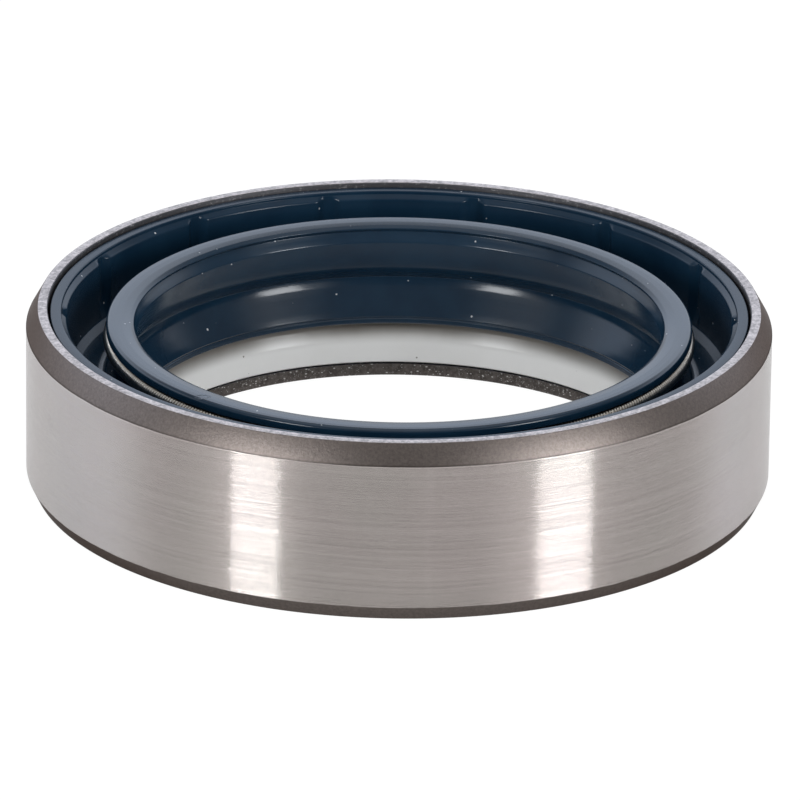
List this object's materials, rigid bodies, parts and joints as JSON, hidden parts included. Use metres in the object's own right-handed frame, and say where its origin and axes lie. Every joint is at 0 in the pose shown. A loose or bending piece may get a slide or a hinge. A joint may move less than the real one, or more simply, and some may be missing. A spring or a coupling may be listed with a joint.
{
  "type": "rotary shaft seal",
  "caption": "Steel-cased rotary shaft seal with a dark blue rubber sealing lip, garter spring and white dust lip, lying flat with its sprung side up.",
  "frame": {"origin": "centre of the case's bottom face", "axes": "+Z along the shaft's axis, from the flanged dust side up to the open sprung side"},
  "size_m": [0.09, 0.09, 0.022],
  "materials": {
    "ground_steel": "ground all round, dark unground chamfers",
    "insert_steel": "pressed, brownish",
    "blue_rubber": "satin, moulded",
    "spring_steel": "bright drawn wire",
    "white_polyurethane": "satin, slightly milky"
  },
  "bodies": {
    "root": {"outer_case": "ground_steel", "insert_ring": "insert_steel", "seal_element": "blue_rubber", "garter_spring": "spring_steel", "dust_lip": "white_polyurethane"}
  },
  "joints": []
}
